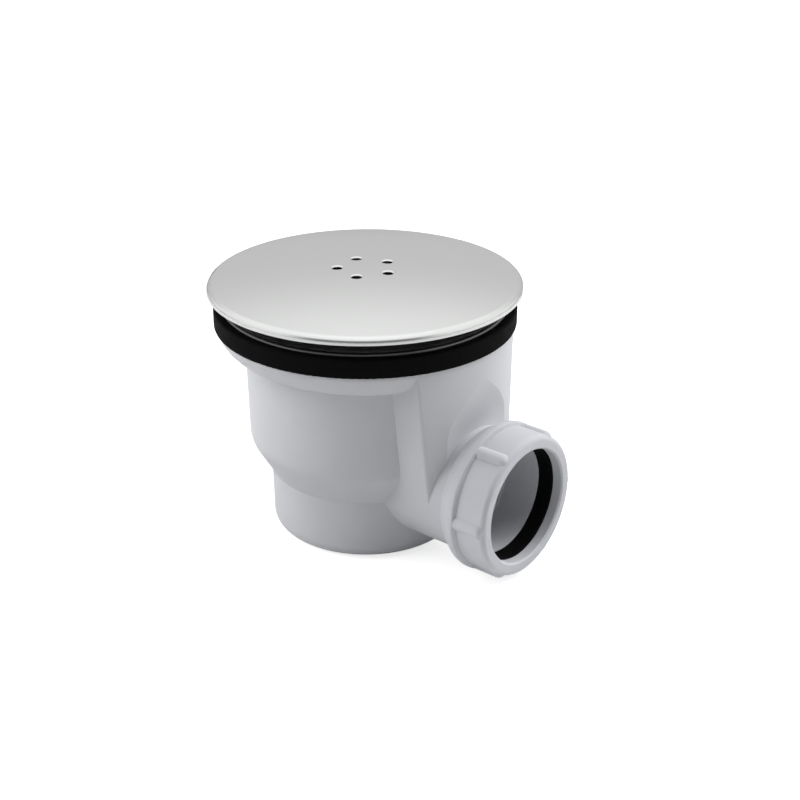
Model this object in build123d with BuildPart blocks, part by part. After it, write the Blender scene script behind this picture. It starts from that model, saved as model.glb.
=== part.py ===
from build123d import *
import os
from math import acos, atan2, cos, sin, sqrt

# Top-access shower drain: dome cover, clamp flange, gasket, trap body and compression outlet.
# Millimetres. The origin is on the drain's axis, in the plane where the clamp flange meets
# the gasket. +X runs along the outlet and +Z is up. A "reach" is a distance along +X from
# the drain's axis.

# Clearances
thread_clearance = 0.2
seat_clearance = 0.3

# Cover
cover_radius = 57.5
cover_sheet = 0.8
cover_crown = 4.4
cover_edge_bend = 2.2
cover_lip_height = 2.6
cover_gap = 5.9
cover_hole_radius = 1.95
cover_hole_chamfer = 0.45
cover_hole_circle_radius = 10.1
cover_hole_count = 5
cover_hole_turn = 5.7

# Clamp flange, sized by the hole in the shower tray
tray_hole_radius = 45.0
tray_hole_clearance = 3.2
flange_rim_rise = 1.0
flange_edge_round = 1.1
flange_dish = 1.0
flange_mouth_drop = 3.2
flange_mouth_round = 2.0
flange_skirt_depth = 14.0
flange_skirt_wall = 3.0
flange_ledge_width = 3.0
flange_ledge_height = 2.6

# Tray gasket
gasket_thickness = 5.7
gasket_overhang = 0.9
gasket_lip_wall = 2.8
gasket_lip_height = 1.5
gasket_edge_round = 0.8
gasket_bore_clearance = 1.0

# Trap body, from the top down
wall = 2.5
flare_width = 10.1
flare_edge = 0.9
flare_depth = 10.6
flare_start_slope = 0.36
body_draft = 0.6
body_wall_depth = 33.9
shoulder_depth = 13.1
shoulder_round = 11.5
sump_radius = 36.2
sump_draft = 0.4
sump_depth = 23.6
sump_edge_round = 5.0

# Outlet chamber and spigot, sized by the waste pipe
pipe_radius = 20.0
pipe_clearance = 0.3
pipe_socket_depth = 14.0
pipe_stop_height = 1.7
spigot_wall = 2.3
spigot_length = 13.5
neck_step = 0.5
neck_length = 2.5
chamber_shoulder = 4.6
chamber_corner_round = 1.5
chamber_roof = 3.0
relief_drop = 11.3
relief_height = 13.5
relief_depth = 2.6
relief_top_round = 40.0
relief_low_round = 40.0
weir_drop = 19.9

# Dip tube, with the O-ring round its rim
dip_rim_height = 3.6
dip_rim_width = 5.5
dip_tube_radius = 23.0
dip_tube_wall = 1.8
dip_funnel_depth = 11.0
dip_floor_gap = 8.5
grip_bar_width = 4.0
grip_bar_height = 5.0
grip_bar_drop = 3.0
o_ring_section_radius = 0.9
o_ring_groove_clearance = 0.15

# Carrier that holds the cover up on the dip tube's rim
carrier_leg_inset = 1.5
carrier_leg_thickness = 2.4
carrier_leg_width = 12.0
carrier_leg_count = 4
carrier_ring_overhang = 3.0
carrier_ring_width = 11.0
carrier_ring_height = 2.0

# Outlet nut and seal
nut_clearance = 0.15
nut_back_gap = 0.4
nut_back_wall = 1.1
nut_back_length = 5.6
nut_back_round = 0.8
nut_wall = 3.4
nut_collar_rise = 1.5
nut_collar_land = 2.4
nut_collar_round = 6.0
nut_collar_step = 0.6
nut_front_lip = 4.0
nut_front_round = 1.9
nut_opening_clearance = 0.9
nut_opening_chamfer = 0.6
nut_rib_count = 6
nut_rib_radius = 3.0
nut_rib_rise = 1.3
nut_rib_setback = 0.4
nut_rib_end_round = 2.4
nut_ground_clearance = 1.85
seal_length = 6.0
seal_bore_clearance = 0.3
seal_edge_round = 0.5

# Radii that follow from the sizes above
thread_radius = tray_hole_radius - tray_hole_clearance
flange_bore_radius = thread_radius - flange_skirt_wall
ledge_inner_radius = flange_bore_radius - flange_ledge_width
mouth_radius = thread_radius + thread_clearance
wall_top_radius = mouth_radius + wall
wall_low_radius = wall_top_radius - body_draft
bucket_radius = wall_low_radius - wall
flare_radius = wall_top_radius + flare_width
gasket_radius = flare_radius + gasket_overhang
gasket_lip_bore_radius = gasket_radius - gasket_lip_wall
flange_radius = gasket_lip_bore_radius - thread_clearance
sump_base_radius = sump_radius - sump_draft
sump_bore_radius = sump_base_radius - wall
socket_radius = pipe_radius + pipe_clearance
spigot_radius = socket_radius + spigot_wall
neck_radius = spigot_radius + neck_step
nut_bore_radius = spigot_radius + nut_clearance
nut_wall_radius = nut_bore_radius + nut_wall
nut_collar_radius = nut_wall_radius + nut_collar_rise
nut_rib_top_radius = nut_wall_radius + nut_rib_rise
seal_bore_radius = socket_radius + seal_bore_clearance
nut_opening_radius = socket_radius + nut_opening_clearance
dip_rim_radius = flange_bore_radius - seat_clearance
dip_rim_inner_radius = dip_rim_radius - dip_rim_width
carrier_leg_radius = dip_rim_radius - carrier_leg_inset
carrier_leg_inner_radius = carrier_leg_radius - carrier_leg_thickness
carrier_ring_radius = carrier_leg_radius + carrier_ring_overhang

# Heights and reaches that follow from the sizes above
flange_rim_height = gasket_lip_height + flange_rim_rise
lip_z = gasket_lip_height + cover_gap
rim_z = lip_z + cover_lip_height
apex_z = rim_z + cover_crown
dome_radius = (cover_radius**2 + cover_crown**2) / (2 * cover_crown)
inner_dome_radius = dome_radius - cover_sheet
ledge_z = -flange_skirt_depth + flange_ledge_height
dip_rim_z = ledge_z + dip_rim_height
body_top_z = -gasket_thickness
flare_low_z = body_top_z - flare_depth
wall_low_z = flare_low_z - body_wall_depth
sump_top_z = wall_low_z - shoulder_depth
base_z = sump_top_z - sump_depth
floor_z = base_z + wall
outlet_z = base_z + nut_ground_clearance + nut_rib_top_radius
weir_z = body_top_z - weir_drop
facet_reach = flare_radius - relief_depth
neck_reach = facet_reach + neck_length
spigot_reach = facet_reach + spigot_length
nut_back_reach = neck_reach + nut_back_gap
nut_collar_reach = nut_back_reach + nut_back_length
nut_collar_end_reach = nut_collar_reach + nut_collar_land
nut_rib_back_reach = nut_collar_reach + nut_collar_land / 2
nut_seat_reach = spigot_reach + seal_length
nut_front_reach = nut_seat_reach + nut_front_lip
outlet_axis = Axis((0, 0, outlet_z), (1, 0, 0))
on_low_end = (Align.CENTER, Align.CENTER, Align.MIN)


def dome_z(surface_radius, at_radius):
    """Height, at a distance from the axis, of a dome surface concentric with the cover."""
    return apex_z - dome_radius + sqrt(surface_radius**2 - at_radius**2)


def upright(radius, low_z, high_z, mode):
    """A plain cylinder about the drain's axis, between two heights, for the open block."""
    with Locations((0, 0, low_z)):
        Cylinder(radius, high_z - low_z, align=on_low_end, mode=mode)


def outlet_bar(radius, start_reach, end_reach, mode=Mode.ADD):
    """A plain cylinder about the outlet's axis, between two reaches, for the open block."""
    with Locations(Location((start_reach, 0, outlet_z), (0, 90, 0))):
        Cylinder(radius, end_reach - start_reach, align=on_low_end, mode=mode)


def save(piece, name):
    """Label a finished piece and write it as its own file."""
    piece.part.label = name
    export_step(piece.part, f"parts/{name}.step")


os.makedirs("parts", exist_ok=True)

# Cover cap: a pressed sheet dome with a turned-down lip and drain holes in its middle
lip_inner_radius = cover_radius - cover_sheet
lip_inner_z = dome_z(inner_dome_radius, lip_inner_radius)
with BuildPart() as cover_cap:
    with BuildSketch(Plane.XZ) as cap_section:
        with BuildLine():
            TangentArc((0, apex_z), (cover_radius, rim_z), tangent=(1, 0))
            Polyline(
                (cover_radius, rim_z),
                (cover_radius, lip_z),
                (lip_inner_radius, lip_z),
                (lip_inner_radius, lip_inner_z),
            )
            TangentArc((0, apex_z - cover_sheet), (lip_inner_radius, lip_inner_z), tangent=(1, 0))
            Line((0, apex_z - cover_sheet), (0, apex_z))
        make_face()
        outer_corner = cap_section.vertices().sort_by_distance((cover_radius, rim_z))[0]
        fillet(outer_corner, cover_edge_bend)
        inner_corner = cap_section.vertices().sort_by_distance((lip_inner_radius, lip_inner_z))[0]
        fillet(inner_corner, cover_edge_bend - cover_sheet)
    revolve(axis=Axis.Z)
    with BuildSketch(Plane.XY.offset(rim_z)):
        with PolarLocations(cover_hole_circle_radius, cover_hole_count, start_angle=cover_hole_turn):
            Circle(cover_hole_radius)
    extrude(amount=2 * cover_crown, mode=Mode.SUBTRACT)
    hole_walls = cover_cap.faces().filter_by(GeomType.CYLINDER).sort_by(SortBy.AREA)[:cover_hole_count]
    chamfer([hole_wall.edges().sort_by(Axis.Z)[-1] for hole_wall in hole_walls], cover_hole_chamfer)
save(cover_cap, "cover_cap")

# Cover carrier: a ring that follows the dome, on legs that stand on the dip tube's rim
ring_inner_radius = carrier_ring_radius - carrier_ring_width
ring_inner_z = dome_z(inner_dome_radius, ring_inner_radius)
ring_outer_z = dome_z(inner_dome_radius, carrier_ring_radius)
ring_low_z = ring_outer_z - carrier_ring_height
with BuildPart() as cover_carrier:
    with BuildSketch(Plane.XZ):
        with BuildLine():
            Polyline(
                (ring_inner_radius, ring_inner_z),
                (carrier_ring_radius, ring_outer_z),
                (carrier_ring_radius, ring_low_z),
                (carrier_leg_radius, ring_low_z),
                (carrier_leg_radius, dip_rim_z),
                (carrier_leg_inner_radius, dip_rim_z),
                (carrier_leg_inner_radius, ring_low_z),
                (ring_inner_radius, ring_inner_z - carrier_ring_height),
                close=True,
            )
        make_face()
    revolve(axis=Axis.Z)
    # The skirt is cut away between the legs, which lets the water in
    with BuildSketch(Plane.XY.offset(dip_rim_z)):
        Circle(carrier_ring_radius)
        with PolarLocations(carrier_leg_radius, carrier_leg_count):
            Rectangle(carrier_leg_radius, carrier_leg_width, mode=Mode.SUBTRACT)
    extrude(amount=ring_low_z - dip_rim_z, mode=Mode.SUBTRACT)
save(cover_carrier, "cover_carrier")

# Clamp flange: dished rim, threaded skirt and an inner ledge for the dip tube
with BuildPart() as clamp_flange:
    with BuildSketch(Plane.XZ):
        with BuildLine():
            FilletPolyline(
                (flange_radius, 0),
                (flange_radius, flange_rim_height),
                (thread_radius, flange_rim_height - flange_dish),
                (flange_bore_radius, flange_rim_height - flange_dish - flange_mouth_drop),
                (flange_bore_radius, ledge_z),
                (ledge_inner_radius, ledge_z),
                (ledge_inner_radius, -flange_skirt_depth),
                (thread_radius, -flange_skirt_depth),
                (thread_radius, 0),
                radius=[0, flange_edge_round, flange_mouth_round, flange_mouth_round, 0, 0, 0, 0, 0],
                close=True,
            )
        make_face()
    revolve(axis=Axis.Z)
save(clamp_flange, "clamp_flange")

# Tray gasket: L-section rubber, its lip stands round the flange's rim
gasket_bore_radius = mouth_radius + gasket_bore_clearance
with BuildPart() as tray_gasket:
    with BuildSketch(Plane.XZ):
        with BuildLine():
            FilletPolyline(
                (gasket_bore_radius, -gasket_thickness),
                (gasket_radius, -gasket_thickness),
                (gasket_radius, gasket_lip_height),
                (gasket_lip_bore_radius, gasket_lip_height),
                (gasket_lip_bore_radius, 0),
                (gasket_bore_radius, 0),
                radius=[0, gasket_edge_round, gasket_edge_round, gasket_edge_round, 0, 0],
                close=True,
            )
        make_face()
    revolve(axis=Axis.Z)
save(tray_gasket, "tray_gasket")


def chamber_block(inset, top_z):
    """Outlet chamber: tapered upright sides over a round bottom, behind a curved front.

    The front is flush with the flare at its top and drawn in behind the nut. An inset of 0
    gives the outside, and an inset of the wall gives the hollow.
    """
    half_width = neck_radius + chamber_shoulder - inset
    bottom_radius = neck_radius - inset
    rise = top_z - outlet_z
    tangent_angle = atan2(rise, half_width) - acos(bottom_radius / sqrt(rise**2 + half_width**2))
    side_y = bottom_radius * cos(tangent_angle)
    side_z = outlet_z + bottom_radius * sin(tangent_angle)
    front_x = flare_radius - inset
    facet_x = facet_reach - inset
    with BuildPart() as block:
        with BuildSketch(Plane.YZ):
            with BuildLine():
                Polyline((side_y, side_z), (half_width, top_z), (-half_width, top_z), (-side_y, side_z))
                ThreePointArc((-side_y, side_z), (0, outlet_z - bottom_radius), (side_y, side_z))
            make_face()
        extrude(amount=flare_radius)
        upright(front_x, base_z, top_z, Mode.INTERSECT)
        front_face = block.faces().sort_by(Axis.X)[-1]
        fillet(front_face.edges().sort_by(Axis.Z)[:-1], chamber_corner_round)
        with BuildSketch(Plane.XZ):
            with BuildLine():
                FilletPolyline(
                    (0, top_z),
                    (front_x, top_z),
                    (front_x, body_top_z - relief_drop),
                    (facet_x, body_top_z - relief_drop - relief_height),
                    (facet_x, base_z),
                    (0, base_z),
                    radius=[0, 0, relief_top_round, relief_low_round, 0, 0],
                    close=True,
                )
            make_face()
        extrude(amount=half_width, both=True, mode=Mode.INTERSECT)
    return block.part


# Hollow of the chamber: it stays outside the weir and leaves the thread ring whole above it
chamber_outside = chamber_block(0, body_top_z)
with BuildPart() as chamber_hollow:
    add(chamber_block(wall, body_top_z - chamber_roof))
    upright(sump_base_radius, base_z, body_top_z, Mode.SUBTRACT)
    upright(wall_top_radius, flare_low_z, body_top_z, Mode.SUBTRACT)

# Weir: the sump's wall carried up inside the chamber and closed to its sides
with BuildPart() as weir:
    add(chamber_outside)
    upright(wall_low_radius, base_z, weir_z, Mode.INTERSECT)
    upright(sump_bore_radius, base_z, weir_z, Mode.SUBTRACT)

# Trap body: a turned bucket and sump with the outlet chamber and spigot on its side
inner_crease_lift = wall / 4
with BuildPart() as trap_body:
    with BuildSketch(Plane.XZ):
        with BuildLine():
            FilletPolyline(
                (0, base_z),
                (sump_base_radius, base_z),
                (sump_radius, sump_top_z),
                radius=sump_edge_round,
            )
            FilletPolyline(
                (sump_radius, sump_top_z),
                (wall_low_radius, wall_low_z),
                (wall_top_radius, flare_low_z),
                radius=shoulder_round,
            )
            TangentArc(
                (flare_radius, body_top_z - flare_edge),
                (wall_top_radius, flare_low_z),
                tangent=(-flare_start_slope, -1),
            )
            Polyline(
                (flare_radius, body_top_z - flare_edge),
                (flare_radius, body_top_z),
                (0, body_top_z),
                (0, base_z),
            )
        make_face()
    revolve(axis=Axis.Z)
    add(chamber_outside)
    outlet_bar(neck_radius, 0, neck_reach)
    outlet_bar(spigot_radius, 0, spigot_reach)
    with BuildSketch(Plane.XZ):
        with BuildLine():
            FilletPolyline(
                (0, floor_z),
                (sump_bore_radius, floor_z),
                (sump_bore_radius, sump_top_z + inner_crease_lift),
                (bucket_radius, wall_low_z + inner_crease_lift),
                (mouth_radius, flare_low_z),
                (mouth_radius, body_top_z),
                (0, body_top_z),
                radius=[0, sump_edge_round - wall, 0, shoulder_round - wall, 0, 0, 0],
                close=True,
            )
        make_face()
    revolve(axis=Axis.Z, mode=Mode.SUBTRACT)
    add(weir.part)
    add(chamber_hollow.part, mode=Mode.SUBTRACT)
    outlet_bar(socket_radius - pipe_stop_height, sump_base_radius, spigot_reach, Mode.SUBTRACT)
    outlet_bar(socket_radius, spigot_reach - pipe_socket_depth, spigot_reach, Mode.SUBTRACT)
save(trap_body, "trap_body")

# Dip tube: rim on the flange's ledge, funnel, tube, and a grip bar to lift it out by
groove_z = ledge_z + dip_rim_height / 2
groove_top_z = groove_z + o_ring_section_radius + o_ring_groove_clearance
groove_low_z = groove_z - o_ring_section_radius - o_ring_groove_clearance
o_ring_radius = flange_bore_radius - o_ring_section_radius
groove_radius = o_ring_radius - o_ring_section_radius - o_ring_groove_clearance
funnel_low_z = dip_rim_z - dip_funnel_depth
tube_low_z = floor_z + dip_floor_gap
with BuildPart() as dip_tube:
    with BuildSketch(Plane.XZ):
        with BuildLine():
            Polyline(
                (dip_rim_inner_radius, dip_rim_z),
                (dip_rim_radius, dip_rim_z),
                (dip_rim_radius, groove_top_z),
                (groove_radius, groove_top_z),
                (groove_radius, groove_low_z),
                (dip_rim_radius, groove_low_z),
                (dip_rim_radius, ledge_z),
                (ledge_inner_radius - seat_clearance, ledge_z),
                (dip_tube_radius, funnel_low_z - dip_tube_wall),
                (dip_tube_radius, tube_low_z),
                (dip_tube_radius - dip_tube_wall, tube_low_z),
                (dip_tube_radius - dip_tube_wall, funnel_low_z),
                close=True,
            )
        make_face()
    revolve(axis=Axis.Z)
    with BuildSketch(Plane.XY.offset(dip_rim_z - grip_bar_drop)):
        Rectangle(2 * dip_rim_inner_radius, grip_bar_width)
    extrude(amount=-grip_bar_height)
save(dip_tube, "dip_tube")

# O-ring: seals the dip tube's rim to the flange's bore
with BuildPart() as dip_tube_o_ring:
    with BuildSketch(Plane.XZ):
        with Locations((o_ring_radius, groove_z)):
            Circle(o_ring_section_radius)
    revolve(axis=Axis.Z)
save(dip_tube_o_ring, "dip_tube_o_ring")

# Grip ribs of the nut: half-round bars with rounded ends, their roots inside the nut's wall
rib_end_reach = nut_front_reach - nut_rib_setback
with BuildPart() as nut_ribs:
    with BuildSketch(Plane.YZ.offset(nut_rib_back_reach)):
        with Locations((0, outlet_z)):
            with PolarLocations(nut_rib_top_radius - nut_rib_radius, nut_rib_count):
                Circle(nut_rib_radius)
    extrude(amount=rib_end_reach - nut_rib_back_reach)
    fillet(nut_ribs.edges().group_by(Axis.X)[-1], nut_rib_end_round)
    outlet_bar(nut_bore_radius + nut_wall / 2, nut_rib_back_reach, nut_front_reach, Mode.SUBTRACT)

# Outlet nut: smooth collar at the back, grip ribs, and a front lip over the seal
with BuildPart() as outlet_nut:
    with BuildSketch(Plane.XZ):
        with BuildLine():
            FilletPolyline(
                (nut_back_reach, outlet_z + nut_bore_radius),
                (nut_back_reach, outlet_z + nut_bore_radius + nut_back_wall),
                (nut_collar_reach, outlet_z + nut_collar_radius),
                (nut_collar_end_reach, outlet_z + nut_collar_radius),
                (nut_collar_end_reach + nut_collar_step, outlet_z + nut_wall_radius),
                (nut_front_reach, outlet_z + nut_wall_radius),
                (nut_front_reach, outlet_z + nut_opening_radius + nut_opening_chamfer),
                (nut_front_reach - nut_opening_chamfer, outlet_z + nut_opening_radius),
                (nut_seat_reach, outlet_z + nut_opening_radius),
                (nut_seat_reach, outlet_z + nut_bore_radius),
                radius=[0, nut_back_round, nut_collar_round, nut_collar_step, 0, nut_front_round, 0, 0, 0, 0],
                close=True,
            )
        make_face()
    revolve(axis=outlet_axis)
    add(nut_ribs.part)
save(outlet_nut, "outlet_nut")

# Outlet seal: rubber ring between the spigot's end and the nut's lip
with BuildPart() as outlet_seal:
    with BuildSketch(Plane.XZ):
        with BuildLine():
            FilletPolyline(
                (spigot_reach, outlet_z + seal_bore_radius),
                (spigot_reach, outlet_z + spigot_radius),
                (nut_seat_reach, outlet_z + spigot_radius),
                (nut_seat_reach, outlet_z + seal_bore_radius),
                radius=[0, 0, seal_edge_round, seal_edge_round],
                close=True,
            )
        make_face()
    revolve(axis=outlet_axis)
save(outlet_seal, "outlet_seal")
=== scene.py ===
import bpy
from mathutils import Matrix, Vector


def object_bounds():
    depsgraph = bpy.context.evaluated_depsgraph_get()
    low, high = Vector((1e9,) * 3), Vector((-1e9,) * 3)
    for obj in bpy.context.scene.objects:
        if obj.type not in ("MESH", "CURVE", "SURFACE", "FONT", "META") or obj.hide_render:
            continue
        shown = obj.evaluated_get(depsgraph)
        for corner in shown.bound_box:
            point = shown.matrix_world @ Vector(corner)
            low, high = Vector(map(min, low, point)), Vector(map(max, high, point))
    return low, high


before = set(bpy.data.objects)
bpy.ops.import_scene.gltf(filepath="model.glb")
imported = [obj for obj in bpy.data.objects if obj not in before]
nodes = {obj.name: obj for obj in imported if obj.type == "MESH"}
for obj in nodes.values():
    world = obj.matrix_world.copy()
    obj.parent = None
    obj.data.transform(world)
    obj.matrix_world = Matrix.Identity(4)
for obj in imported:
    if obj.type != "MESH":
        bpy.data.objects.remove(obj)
cad_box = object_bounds()

# Most of a noise lies in this middle part of its range
noise_low = 0.3
noise_high = 0.7

# Sockets of a colour Mix node: its other kinds use the same names, so these go by number
mix_factor = 0
mix_first = 6
mix_second = 7
mix_result = 2

# Radii on the clamp flange, in metres: dull inside the first, polished beyond the second
flange_dull_radius = 0.0485
flange_polished_radius = 0.0508

# Camera at the photograph's angle, fitted to the cover, flange and outlet in it, in metres and millimetres
camera_place = (0.3399, -0.3842, 0.1987)
camera_lens = 67.5
camera_sensor = 36.0

# Directions of that camera: back towards it, to its right and up, and back along the floor
vertical = Vector((0.0, 0.0, 1.0))
back = Vector((0.5844, -0.6943, 0.4201)).normalized()
right = vertical.cross(back).normalized()
up = back.cross(right)
level = Vector((back.x, back.y, 0.0)).normalized()

# Floor, in metres: it is lit less beyond the lamps, so its glow to the camera grows between two distances
floor_size = 8.0
floor_z = cad_box[0][2]
glow_near = 0.4
glow_far = 1.2

# Lamps are placed from this point and aimed at it
lamp_centre = Vector((0.0, 0.0, -0.04))


def map_range(tree, value, low, high, at_low=0.0, at_high=1.0, curve="LINEAR"):
    """A value that goes from at_low to at_high while another goes from low to high."""
    node = tree.nodes.new("ShaderNodeMapRange")
    node.interpolation_type = curve
    node.inputs["From Min"].default_value = low
    node.inputs["From Max"].default_value = high
    node.inputs["To Min"].default_value = at_low
    node.inputs["To Max"].default_value = at_high
    tree.links.new(value, node.inputs["Value"])
    return node.outputs["Result"]


def length(tree, vector):
    """Length of a vector."""
    node = tree.nodes.new("ShaderNodeVectorMath")
    node.operation = "LENGTH"
    tree.links.new(vector, node.inputs[0])
    return node.outputs["Value"]


def share_along(tree, vector, axis):
    """How far a vector points along an axis."""
    node = tree.nodes.new("ShaderNodeVectorMath")
    node.operation = "DOT_PRODUCT"
    node.inputs[1].default_value = axis
    tree.links.new(vector, node.inputs[0])
    return node.outputs["Value"]


def z_of(tree, vector):
    """The upward part of a vector."""
    node = tree.nodes.new("ShaderNodeSeparateXYZ")
    tree.links.new(vector, node.inputs["Vector"])
    return node.outputs["Z"]


def principled(name, base, metallic, roughness, specular=0.5):
    """A node material with the values that are the same all over set on the shader itself."""
    material = bpy.data.materials.new(name)
    material.use_nodes = True
    shader = material.node_tree.nodes["Principled BSDF"]
    shader.inputs["Base Color"].default_value = (*base, 1.0)
    shader.inputs["Metallic"].default_value = metallic
    shader.inputs["Roughness"].default_value = roughness
    shader.inputs["Specular IOR Level"].default_value = specular
    return material, shader


def object_place(tree, stretch):
    """Place in the part's own frame, stretched along its axes."""
    place = tree.nodes.new("ShaderNodeTexCoord")
    mapping = tree.nodes.new("ShaderNodeMapping")
    mapping.inputs["Scale"].default_value = stretch
    tree.links.new(place.outputs["Object"], mapping.inputs["Vector"])
    return mapping.outputs["Vector"]


def noise(tree, scale, detail, stretch=(1.0, 1.0, 1.0)):
    """Noise in the part's own frame. A scale of 1000 has features of about a millimetre."""
    texture = tree.nodes.new("ShaderNodeTexNoise")
    texture.inputs["Scale"].default_value = scale
    texture.inputs["Detail"].default_value = detail
    tree.links.new(object_place(tree, stretch), texture.inputs["Vector"])
    return texture.outputs["Fac"]


def ramp(tree, factor, dark, light, low=noise_low, high=noise_high):
    """A colour that goes from dark to light while a factor goes from low to high."""
    node = tree.nodes.new("ShaderNodeValToRGB")
    for element, position, colour in zip(node.color_ramp.elements, (low, high), (dark, light)):
        element.position = position
        element.color = (*colour, 1.0)
    tree.links.new(factor, node.inputs["Fac"])
    return node.outputs["Color"]


def vary_colour(tree, shader, factor, dark, light):
    """Colour that runs from dark to light over the middle of a noise."""
    tree.links.new(ramp(tree, factor, dark, light), shader.inputs["Base Color"])


def vary_roughness(tree, shader, factor, smooth, rough):
    """Roughness that runs from smooth to rough over the middle of a noise."""
    spread = map_range(tree, factor, noise_low, noise_high, smooth, rough)
    tree.links.new(spread, shader.inputs["Roughness"])


def add_bump(tree, shader, factor, height, strength):
    """Fine relief, its height in metres."""
    bump = tree.nodes.new("ShaderNodeBump")
    bump.inputs["Strength"].default_value = strength
    bump.inputs["Distance"].default_value = height
    tree.links.new(factor, bump.inputs["Height"])
    tree.links.new(bump.outputs["Normal"], shader.inputs["Normal"])


def satin_steel():
    """Pressed stainless sheet: a very fine brushed grain, and an underside painted dark grey as shade for the
    gap below the cover.
    """
    material, shader = principled("satin_steel", (0.765, 0.775, 0.765), 1.0, 0.24)
    tree = material.node_tree
    grain = noise(tree, 4200.0, 2.0, (0.02, 1.0, 1.0))
    brushed = ramp(tree, grain, (0.755, 0.765, 0.755), (0.775, 0.785, 0.775))
    # Painted shade: the downward-facing underside is coloured dark grey so that the gap under the cover, and
    # its reflection in the flange, look shaded.
    painted_underside_shade = ramp(tree, grain, (0.14, 0.14, 0.14), (0.20, 0.20, 0.20), 0.0, 1.0)
    geometry = tree.nodes.new("ShaderNodeNewGeometry")
    underside = map_range(tree, z_of(tree, geometry.outputs["True Normal"]), -0.5, -0.8)
    sides = tree.nodes.new("ShaderNodeMix")
    sides.data_type = "RGBA"
    tree.links.new(underside, sides.inputs[mix_factor])
    tree.links.new(brushed, sides.inputs[mix_first])
    tree.links.new(painted_underside_shade, sides.inputs[mix_second])
    tree.links.new(sides.outputs[mix_result], shader.inputs["Base Color"])
    vary_roughness(tree, shader, grain, 0.22, 0.26)
    add_bump(tree, shader, grain, 0.000002, 0.1)
    return material


def moulded_plastic(name, dark, light, smooth, rough):
    """White polypropylene: faint flow clouds, a soft sheen and a very fine moulded skin."""
    material, shader = principled(name, light, 0.0, rough)
    tree = material.node_tree
    shader.inputs["Subsurface Weight"].default_value = 0.08
    shader.inputs["Subsurface Radius"].default_value = (1.0, 1.0, 1.0)
    shader.inputs["Subsurface Scale"].default_value = 0.0015
    clouds = noise(tree, 45.0, 2.0)
    skin = noise(tree, 1600.0, 2.0)
    vary_colour(tree, shader, clouds, dark, light)
    vary_roughness(tree, shader, clouds, smooth, rough)
    add_bump(tree, shader, skin, 0.00002, 0.12)
    return material


def black_plastic():
    """Black moulding: a polished outer rim round a dull textured ring."""
    material, shader = principled("gloss_black", (0.008, 0.008, 0.010), 0.0, 0.25, 1.0)
    tree = material.node_tree
    shader.inputs["IOR"].default_value = 1.7
    clouds = noise(tree, 120.0, 2.0)
    texture = noise(tree, 1500.0, 2.0)
    vary_colour(tree, shader, clouds, (0.006, 0.006, 0.008), (0.010, 0.010, 0.012))
    radius = length(tree, object_place(tree, (1.0, 1.0, 0.0)))
    polish = map_range(tree, radius, flange_dull_radius, flange_polished_radius, 0.7, 0.34)
    tree.links.new(polish, shader.inputs["Roughness"])
    add_bump(tree, shader, texture, 0.00001, 0.1)
    return material


def black_rubber():
    """Matte black rubber with a fine grain and slight dusting."""
    material, shader = principled("matte_rubber", (0.003, 0.003, 0.003), 0.0, 0.75, 0.06)
    tree = material.node_tree
    dust = noise(tree, 260.0, 4.0)
    grain = noise(tree, 2200.0, 2.0)
    vary_colour(tree, shader, dust, (0.002, 0.002, 0.0022), (0.004, 0.004, 0.0044))
    vary_roughness(tree, shader, dust, 0.68, 0.85)
    add_bump(tree, shader, grain, 0.00003, 0.3)
    return material


def white_paper():
    """Pale floor that glows to the camera, so that it is seen as white and keeps the drain's shadow."""
    material = bpy.data.materials.new("white_paper")
    material.use_nodes = True
    tree = material.node_tree
    tree.nodes.clear()
    diffuse = tree.nodes.new("ShaderNodeBsdfDiffuse")
    diffuse.inputs["Color"].default_value = (0.78, 0.78, 0.78, 1.0)
    glow = tree.nodes.new("ShaderNodeEmission")
    glow.inputs["Color"].default_value = (1.0, 1.0, 1.0, 1.0)
    distance = length(tree, tree.nodes.new("ShaderNodeNewGeometry").outputs["Position"])
    strength = map_range(tree, distance, glow_near, glow_far, 0.70, 1.0)
    to_camera = tree.nodes.new("ShaderNodeMath")
    to_camera.operation = "MULTIPLY"
    both = tree.nodes.new("ShaderNodeAddShader")
    out = tree.nodes.new("ShaderNodeOutputMaterial")
    tree.links.new(tree.nodes.new("ShaderNodeLightPath").outputs["Is Camera Ray"], to_camera.inputs[0])
    tree.links.new(strength, to_camera.inputs[1])
    tree.links.new(to_camera.outputs["Value"], glow.inputs["Strength"])
    tree.links.new(diffuse.outputs["BSDF"], both.inputs[0])
    tree.links.new(glow.outputs["Emission"], both.inputs[1])
    tree.links.new(both.outputs["Shader"], out.inputs["Surface"])
    return material


def background(tree, name, strength, colour=(1.0, 1.0, 1.0)):
    """One flat background of the studio."""
    shader = tree.nodes.new("ShaderNodeBackground")
    shader.name = name
    shader.inputs["Color"].default_value = (*colour, 1.0)
    shader.inputs["Strength"].default_value = strength
    return shader


def smooth_step(tree, value, low, high):
    """0 below low, 1 above high and a smooth rise between them."""
    return map_range(tree, value, low, high, curve="SMOOTHSTEP")


def blend(tree, factor, below, above):
    """Two shaders mixed by a factor."""
    mixer = tree.nodes.new("ShaderNodeMixShader")
    tree.links.new(factor, mixer.inputs["Fac"])
    tree.links.new(below.outputs[0], mixer.inputs[1])
    tree.links.new(above.outputs[0], mixer.inputs[2])
    return mixer


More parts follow.
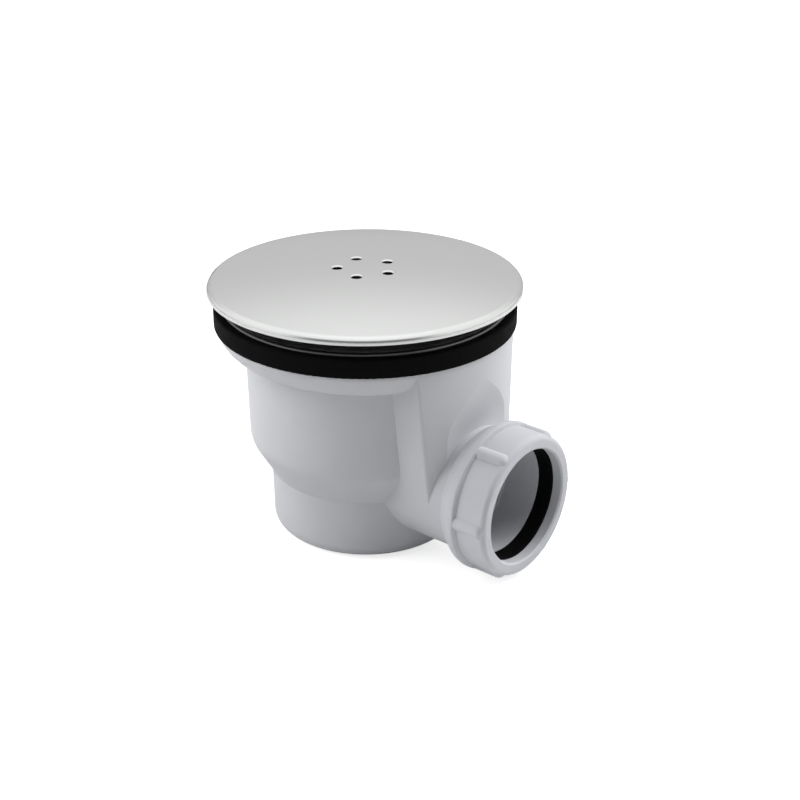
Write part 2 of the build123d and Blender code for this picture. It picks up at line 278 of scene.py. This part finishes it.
def studio():
    """World: a soft fill, a room of walls, side boxes and ceiling in reflections, and white to the camera."""
    world = bpy.data.worlds.new("studio")
    world.use_nodes = True
    tree = world.node_tree
    tree.nodes.clear()
    direction = tree.nodes.new("ShaderNodeTexCoord").outputs["Generated"]
    either_side = tree.nodes.new("ShaderNodeMath")
    either_side.operation = "ABSOLUTE"
    tree.links.new(share_along(tree, direction, right), either_side.inputs[0])
    height = z_of(tree, direction)
    camera_side = smooth_step(tree, share_along(tree, direction, level), 0.15, 0.65)
    beside = smooth_step(tree, either_side.outputs["Value"], 0.55, 0.85)
    overhead = smooth_step(tree, height, 0.33, 0.72)
    straight_up = smooth_step(tree, height, 0.88, 0.97)

    fill = background(tree, "fill", 0.09, (0.97, 0.98, 1.0))
    far_wall = background(tree, "far_wall", 0.64)
    near_wall = background(tree, "near_wall", 0.20)
    side_boxes = background(tree, "side_boxes", 1.0)
    ceiling = background(tree, "ceiling", 1.1)
    skylight = background(tree, "skylight", 1.22)
    white = background(tree, "white", 1.0)

    ray = tree.nodes.new("ShaderNodeLightPath")
    walls = blend(tree, beside, blend(tree, camera_side, far_wall, near_wall), side_boxes)
    reflected = blend(tree, straight_up, blend(tree, overhead, walls, ceiling), skylight)
    lit = blend(tree, ray.outputs["Is Glossy Ray"], fill, reflected)
    seen = blend(tree, ray.outputs["Is Camera Ray"], lit, white)
    out = tree.nodes.new("ShaderNodeOutputWorld")
    tree.links.new(seen.outputs["Shader"], out.inputs["Surface"])
    return world


def softbox(name, offset, width, height, watts):
    """A soft rectangular lamp that faces the centre. The studio's walls stand for its reflection."""
    lamp = bpy.data.lights.new(name, "AREA")
    lamp.shape = "RECTANGLE"
    lamp.size = width
    lamp.size_y = height
    lamp.energy = watts
    holder = bpy.data.objects.new(name, lamp)
    holder.location = lamp_centre + offset
    holder.rotation_euler = (-offset).to_track_quat("-Z", "Y").to_euler()
    holder.visible_glossy = False
    bpy.context.scene.collection.objects.link(holder)


body_white = moulded_plastic("body_white", (0.63, 0.637, 0.662), (0.66, 0.667, 0.692), 0.40, 0.48)
nut_white = moulded_plastic("nut_white", (0.62, 0.63, 0.665), (0.65, 0.66, 0.695), 0.42, 0.50)
insert_white = moulded_plastic("insert_white", (0.60, 0.61, 0.63), (0.65, 0.66, 0.68), 0.40, 0.50)
steel = satin_steel()
gloss_black = black_plastic()
rubber = black_rubber()

finishes = {
    "cover_cap": steel,
    "cover_carrier": insert_white,
    "clamp_flange": gloss_black,
    "tray_gasket": rubber,
    "trap_body": body_white,
    "dip_tube": insert_white,
    "dip_tube_o_ring": rubber,
    "outlet_nut": nut_white,
    "outlet_seal": rubber,
}
for name, finish in finishes.items():
    for slot in nodes[name].material_slots:
        slot.material = finish

bpy.ops.mesh.primitive_plane_add(size=floor_size, location=(0.0, 0.0, floor_z))
floor = bpy.context.object
floor.name = "floor"
floor.data.materials.append(white_paper())

bpy.context.scene.world = studio()

# Lamps: a high box at each side, the right one a little behind the drain, and a low one at its right
softbox("left_box", right * -0.80 + vertical * 0.60, 0.9, 0.9, 9.5)
softbox("right_box", right * 0.66 - level * 0.22 + vertical * 0.72, 0.9, 0.9, 11.2)
softbox("low_box", right * 0.97 + vertical * 0.26, 0.55, 0.7, 0.6)

camera_data = bpy.data.cameras.new("camera")
camera_data.sensor_width = camera_sensor
camera_data.lens = camera_lens
camera = bpy.data.objects.new("camera", camera_data)
camera_turn = Matrix((right, up, back)).transposed().to_4x4()
camera.matrix_world = Matrix.Translation(camera_place) @ camera_turn
bpy.context.scene.collection.objects.link(camera)
bpy.context.scene.camera = camera

bpy.context.scene.view_settings.view_transform = "Standard"
